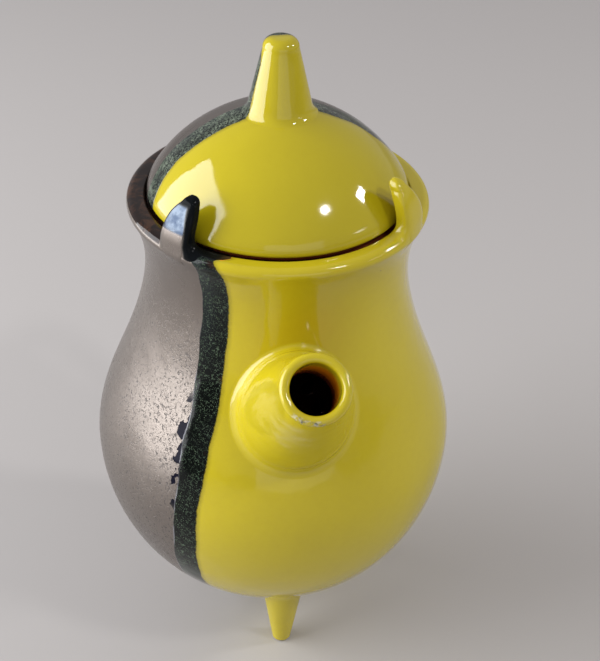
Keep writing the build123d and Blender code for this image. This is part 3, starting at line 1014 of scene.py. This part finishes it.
# Colours of the glaze, linear red, green and blue.
YELLOW_MOTTLE = (0.40, 0.31, 0.008)
YELLOW_FRINGE = (0.17, 0.135, 0.008)
YELLOW_WAIST_AMBER = (0.50, 0.30, 0.004)
PINHOLE = (0.10, 0.075, 0.01)
BAND_BLACK = (0.001, 0.002, 0.0015)
BAND_SLATE = (0.010, 0.014, 0.015)
BAND_FLECK = (0.10, 0.14, 0.085)
BAND_RUST = (0.05, 0.018, 0.010)
METAL_LOW = (0.160, 0.138, 0.122)
METAL_HIGH = (0.245, 0.211, 0.187)
METAL_PALE = (0.30, 0.265, 0.24)
SHEEN_LOW = (0.035, 0.048, 0.075)
SHEEN_HIGH = (0.095, 0.115, 0.145)
SCAR = (0.028, 0.023, 0.022)
PATCH = (0.006, 0.006, 0.014)
PLAIN_BLACK = (0.004, 0.005, 0.006)
SEAM = (0.30, 0.30, 0.33)
# The two ambers are brighter than the yellow: painted light for light shining through and bouncing in the
# spout's bore. LINER_BROWN is the lining's own brown. The deep lining colour is that brown painted near
# black, as painted shade.
AMBER_LIP_GLOW = (0.85, 0.58, 0.02)
AMBER_GLOW = (0.86, 0.36, 0.012)
LINER_BROWN = (0.16, 0.035, 0.012)
LINER_DEEP_SHADE = (0.022, 0.007, 0.005)
LINER_BLACK = (0.013, 0.008, 0.007)
LINER_RUST = (0.052, 0.024, 0.014)
CLAY_PALE = (0.50, 0.48, 0.36)
CLAY_DARK = (0.10, 0.10, 0.08)


def glaze(name, band_width, worms, patches, yellow_low, yellow_high, leaf_dark, leaf_pale):
    """Two-tone glaze: yellow, a speckled black-green band, and a metallic lustre.

    The field edge and what is added to it are in millimetres, heights in metres.
    """
    t = Tree(name)
    edge = t.field("edge")
    lining_and_shade = t.field("lining_and_shade")
    worn = t.field("worn")
    plain = t.field("plain")
    height = t.height()

    wander = t.waver(t.noise(90, 2), 1.2)
    ragged = t.waver(t.noise(1100, 3, 0.6), 0.9)
    shore = t.math("ADD", edge, t.math("ADD", wander, ragged))
    dark = t.step(shore, -0.25, 0.4)

    # yellow
    cloud = t.noise(22, 3, 0.5)
    yellow = t.mix(cloud, yellow_low, yellow_high)
    mottle = t.step(t.noise(420, 3, 0.6), 0.35, 0.75)
    yellow = t.mix(t.times(mottle, 0.12), yellow, YELLOW_MOTTLE)
    fringe = t.step(shore, -1.9, 0.0)
    yellow = t.mix(t.times(fringe, 0.5), yellow, YELLOW_FRINGE)
    waist_amber = t.times(t.field("waist_amber"), t.step(t.noise(70, 3, 0.6), 0.2, 0.7, 0.55, 1.0))
    yellow = t.mix(waist_amber, yellow, YELLOW_WAIST_AMBER)
    hole = t.step(t.cells(75), 0.030, 0.018)
    hole = t.times(hole, t.step(t.noise(31, 1), 0.55, 0.6))
    yellow = t.mix(hole, yellow, PINHOLE)

    # black-green band
    slate = t.times(t.step(height, 0.140, 0.185), t.step(shore, 3.0, 8.0, 0.35, 1.0))
    slate = t.math("MAXIMUM", slate, t.step(height, 0.075, 0.045, 0.0, 1.2))
    ground = t.mix(slate, BAND_BLACK, BAND_SLATE)
    worm = t.noise(1250, 2.5, 0.62, 1.5)
    moss = t.step(worm, 0.61 - worms, 0.67 - worms)
    density = t.step(t.noise(140, 2), 0.30, 0.62, 0.28, 0.85)
    low = t.step(height, 0.090, 0.045)
    moss = t.math("MULTIPLY", moss, t.math("ADD", density, low), clamp=True)
    leaf = t.mix(t.noise(600, 2), leaf_dark, leaf_pale)
    band = t.mix(moss, ground, leaf)
    fleck = t.times(t.step(t.cells(1150), 0.24, 0.12), t.step(t.noise(330, 2), 0.46, 0.58))
    band = t.mix(fleck, band, BAND_FLECK)
    rust = t.times(t.step(t.noise(75, 2, 0.5, 0.5), 0.60, 0.68), t.step(shore, 4.0, 1.0))
    band = t.mix(t.times(rust, 0.5), band, BAND_RUST)

    # metallic lustre
    meander = t.waver(t.noise(38, 2), 4.0)
    nick = t.waver(t.noise(800, 3), 0.35)
    depth = t.math("SUBTRACT", t.math("ADD", edge, t.math("ADD", meander, nick)), band_width)
    lustre = t.step(depth, -0.12, 0.12)
    tone = t.noise(30, 3, 0.55)
    metal = t.mix(tone, METAL_LOW, METAL_HIGH)
    pale = t.step(t.noise(1500, 2, 0.6), 0.56, 0.72)
    metal = t.mix(t.times(pale, 0.35), metal, METAL_PALE)
    cool = t.field("cool")
    sheen = t.mix(t.step(t.noise(260, 3, 0.6), 0.35, 0.65), SHEEN_LOW, SHEEN_HIGH)
    metal = t.mix(cool, metal, sheen)
    ridge = t.math("ABSOLUTE", t.math("SUBTRACT", t.noise(580, 1.5, 0.5, 0.8), 0.5))
    lines = t.times(t.step(ridge, 0.036, 0.014), t.step(t.noise(800, 2), 0.45, 0.54))
    belly = t.times(t.step(height, 0.042, 0.068), t.step(height, 0.175, 0.140))
    crackle = t.times(lines, t.times(belly, t.step(t.noise(45, 2), 0.25, 0.55, 0.45, 1.0)))
    runs = t.step(t.noise(1.0, 2, 0.55, space=t.stretched((1300, 1300, 380))), 0.60, 0.68)
    runs = t.times(runs, t.step(t.noise(60, 2), 0.40, 0.60))
    runs = t.times(runs, t.times(t.step(height, 0.06, 0.09), t.step(height, 0.18, 0.15)))
    scar = t.math("MAXIMUM", t.times(crackle, 0.85), t.times(runs, 0.65))
    metal = t.mix(scar, metal, SCAR)

    # ragged blue-black patches and the pale overlap line where the two meet
    zone = t.times(t.step(height, 0.090, 0.098), t.step(height, 0.140, 0.130))
    reach = t.times(zone, t.step(t.noise(110, 3, 0.65), 0.45, 0.62, -0.8, 3.2))
    reach = t.math("ADD", reach, t.waver(t.noise(900, 3), 1.2))
    patch = t.times(lustre, t.step(depth, reach, t.math("SUBTRACT", reach, 0.25)))
    patch = t.times(patch, t.math("MULTIPLY", zone, patches, clamp=True))
    seam = t.step(t.math("ABSOLUTE", depth), 0.30, 0.12)
    seam = t.times(seam, t.step(t.noise(95, 2), 0.42, 0.54, 0.1, 0.75))
    seam = t.times(seam, t.times(t.step(height, 0.030, 0.045), patches))
    seam = t.times(seam, t.step(height, 0.150, 0.140, 0.1, 0.85))

    lustre = t.times(lustre, t.less(patch), t.less(plain))
    deep = t.mix(lustre, band, metal)
    deep = t.mix(patch, deep, PATCH)
    deep = t.mix(plain, deep, PLAIN_BLACK)
    deep = t.mix(seam, deep, SEAM)
    colour = t.mix(dark, yellow, deep)

    # inside the pot: the brown lining, amber painted brighter near the mouth and rim as painted light,
    # and near black deeper in as painted shade
    amber = t.mix(t.step(lining_and_shade, 0.0, 0.12), AMBER_LIP_GLOW, AMBER_GLOW)
    brown = t.mix(t.step(lining_and_shade, 0.12, 0.48), amber, LINER_BROWN)
    brown = t.mix(t.step(lining_and_shade, 0.42, 0.9), brown, LINER_DEEP_SHADE)
    streak = t.step(t.noise(150, 4, 0.65, 1.0), 0.42, 0.66)
    dark_liner = t.mix(streak, LINER_BLACK, LINER_RUST)
    inner_dark = t.mix(t.step(lining_and_shade, 0.0, 0.6), deep, dark_liner)
    inner_dark = t.mix(plain, inner_dark, PLAIN_BLACK)
    inside = t.mix(dark, brown, inner_dark)
    is_inside = t.step(lining_and_shade, 0.0, 0.08)
    colour = t.mix(is_inside, colour, inside)

    # chipped and ground places
    chip = t.times(worn, t.step(t.noise(700, 3, 0.6), 0.40, 0.56))
    bare = t.mix(t.step(t.noise(900, 3, 0.6), 0.42, 0.58), CLAY_PALE, CLAY_DARK)
    colour = t.mix(chip, colour, bare)
    t.put(t.shader.inputs["Base Color"], colour)

    shiny = t.times(t.times(lustre, dark), t.less(is_inside))
    t.put(t.shader.inputs["Metallic"], t.times(shiny, t.blend(scar, 0.88, 0.2)))
    glassy = t.step(t.noise(50, 3), 0.3, 0.7, 0.05, 0.11)
    gloss = t.blend(shiny, glassy, t.step(tone, 0.3, 0.7, 0.22, 0.33))
    gloss = t.blend(t.times(shiny, cool), gloss, 0.13)
    gloss = t.math("ADD", gloss, t.times(scar, t.times(shiny, 0.25)))
    gloss = t.math("ADD", gloss, t.times(chip, 0.5), clamp=True)
    t.put(t.shader.inputs["Roughness"], gloss)
    t.shader.inputs["IOR"].default_value = 1.52
    speckled = t.times(t.math("SUBTRACT", dark, shiny, clamp=True), t.less(plain), t.less(is_inside))
    mirror = t.blend(speckled, 0.54, 0.17)
    mirror = t.blend(t.times(is_inside, dark), mirror, 0.26)
    mirror = t.blend(t.times(t.math("MAXIMUM", patch, plain), dark), mirror, 0.05)
    t.put(t.shader.inputs["Specular IOR Level"], mirror)

    # relief, in metres
    swell = t.times(t.noise(55, 2, 0.5), 0.00045)
    peel = t.times(t.noise(700, 2, 0.5), 0.000012)
    grain = t.times(t.noise(2200, 2, 0.6), t.times(shiny, 0.00003))
    cut = t.times(scar, shiny, -0.00005)
    step_up = t.times(dark, 0.00006)
    pit = t.times(t.math("ADD", chip, hole), -0.00012)
    relief = t.math("ADD", t.math("ADD", swell, peel), t.math("ADD", grain, cut))
    relief = t.math("ADD", relief, t.math("ADD", step_up, pit))
    bump = t.nodes.new("ShaderNodeBump")
    bump.inputs["Strength"].default_value = 1.0
    bump.inputs["Distance"].default_value = 1.0
    t.put(bump.inputs["Height"], relief)
    t.put(t.shader.inputs["Normal"], bump.outputs[0])
    return t.material


pot_glaze = glaze(
    "glaze_pot", band_width=10.0, worms=0.05, patches=1.0,
    yellow_low=(0.45, 0.36, 0.008), yellow_high=(0.53, 0.43, 0.013),
    leaf_dark=(0.018, 0.045, 0.022), leaf_pale=(0.12, 0.16, 0.11),
)
# The lid's yellow is the same glaze as the pot's, painted about a tenth darker as painted shade, since
# its top takes more light. Its band's width and speckles are its own.
lid_glaze_shaded = glaze(
    "glaze_lid_shaded", band_width=9.5, worms=0.13, patches=0.0,
    yellow_low=(0.40, 0.325, 0.006), yellow_high=(0.465, 0.38, 0.009),
    leaf_dark=(0.055, 0.075, 0.050), leaf_pale=(0.24, 0.28, 0.21),
)

plain_fields = {
    "edge": pot_edge, "lining_and_shade": nothing, "worn": nothing,
    "plain": nothing, "waist_amber": nothing, "cool": nothing,
}
sole = {"worn": foot_worn}
for piece, node, body, slot, fields in (
    (pot, "body_shell", "pot", "yellow_glaze",
     {"lining_and_shade": body_lining_and_shade, "plain": lip_plain, "waist_amber": pot_waist_amber}),
    (spout, "spout", "pot", "yellow_glaze", {"lining_and_shade": spout_lining_and_shade, "worn": spout_worn}),
    (handle, "handle", "pot", "dark_glaze", {}),
    (claw_left, "prong_left", "pot", "dark_glaze",
     {"edge": solid_dark, "plain": claw_plain, "cool": claw_cool}),
    (claw_right, "prong_right", "pot", "yellow_glaze", {}),
    (foot_front, "foot_front", "pot", "yellow_glaze", sole),
    (foot_left, "foot_rear_left", "pot", "dark_glaze", sole),
    (foot_right, "foot_rear_right", "pot", "yellow_glaze", sole),
    (lid, "lid_dome", "lid", "yellow_glaze", {"edge": lid_edge, "lining_and_shade": lid_liner}),
    (flange, "lid_flange", "lid", "liner_glaze", {"edge": solid_dark, "lining_and_shade": everything}),
    (knob, "lid_knob", "lid", "yellow_glaze", {"edge": knob_edge}),
):
    paint(piece, **{**plain_fields, **fields})
    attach(piece, body)
    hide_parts(node)
    piece.data.materials.append(lid_glaze_shaded if body == "lid" else pot_glaze)

# ---------------------------------------------------------------- floor, light and camera
floor_mesh = bpy.data.meshes.new("floor")
half = 9.0
corners = [(-half, -half, 0), (half, -half, 0), (half, half, 0), (-half, half, 0)]
floor_mesh.from_pydata(corners, [], [(0, 1, 2, 3)])
floor = bpy.data.objects.new("floor", floor_mesh)
bpy.context.scene.collection.objects.link(floor)
floor_material = bpy.data.materials.new("floor_pale")
floor_material.use_nodes = True
floor_shader = floor_material.node_tree.nodes["Principled BSDF"]
floor_shader.inputs["Base Color"].default_value = (0.435, 0.413, 0.402, 1)
floor_shader.inputs["Roughness"].default_value = 0.6
floor.data.materials.append(floor_material)


def area_light(name, place, target, width, height, power, colour=(1, 1, 1)):
    """Rectangular light at a place, turned to a target. Sizes are in metres, power in watts."""
    data = bpy.data.lights.new(name, "AREA")
    data.shape = "RECTANGLE"
    data.size = width
    data.size_y = height
    data.energy = power
    data.color = colour
    light = bpy.data.objects.new(name, data)
    light.location = place
    light.rotation_euler = (Vector(target) - Vector(place)).to_track_quat("-Z", "Y").to_euler()
    bpy.context.scene.collection.objects.link(light)


area_light("window", (-0.97, 0.06, 0.60), (0.0, 0.0, 0.60), 1.15, 1.2, 26.0, (0.96, 0.98, 1.0))
area_light("front_fill", (0.15, -1.45, 0.30), (0.0, 0.0, 0.15), 1.3, 0.8, 2.2)
lamp_target = Vector((0, 0, 0.2))
lamp_distance = 1.5
for name, azimuth_deg, elevation_deg, width, height, power in (
    ("lamp_right", 87, 30.5, 0.17, 0.17, 5.5),
    ("lamp_high", 46.8, 45.7, 0.17, 0.13, 4.0),
    ("strip_low", 64, 13, 0.30, 0.045, 0.6),
):
    turn, rise = math.radians(azimuth_deg), math.radians(elevation_deg)
    way = Vector((math.sin(turn) * math.cos(rise), -math.cos(turn) * math.cos(rise), math.sin(rise)))
    area_light(name, lamp_target + way * lamp_distance, lamp_target, width, height, power)
world = bpy.data.worlds.new("studio")
world.use_nodes = True
world.node_tree.nodes["Background"].inputs["Color"].default_value = (0.74, 0.72, 0.735, 1)
world.node_tree.nodes["Background"].inputs["Strength"].default_value = 0.58
bpy.context.scene.world = world
bpy.context.scene.view_settings.view_transform = "Standard"

azimuth = math.radians(9.5)
pitch = math.radians(35.8)
roll = math.radians(1.9)
camera_distance = 0.3957  # level distance from the pot's axis
camera_offset = 0.0092  # to the right
camera_height = 0.4165
right = np.array((math.cos(azimuth), -math.sin(azimuth), 0.0))
toward = np.array((-math.sin(azimuth), -math.cos(azimuth), 0.0))
place = camera_distance * toward + camera_offset * right + (0, 0, camera_height)
look = -toward * math.cos(pitch) - np.array((0, 0, math.sin(pitch)))
upward = np.cross(right, look)
x_axis = right * math.cos(roll) + upward * math.sin(roll)
y_axis = upward * math.cos(roll) - right * math.sin(roll)
camera_data = bpy.data.cameras.new("camera")
camera_data.lens = 70.8
camera_data.sensor_width = 36.0
camera = bpy.data.objects.new("camera", camera_data)
camera.matrix_world = Matrix((
    (x_axis[0], y_axis[0], -look[0], place[0]),
    (x_axis[1], y_axis[1], -look[1], place[1]),
    (x_axis[2], y_axis[2], -look[2], place[2]),
    (0, 0, 0, 1),
))
bpy.context.scene.collection.objects.link(camera)
bpy.context.scene.camera = camera

bpy.context.view_layer.update()
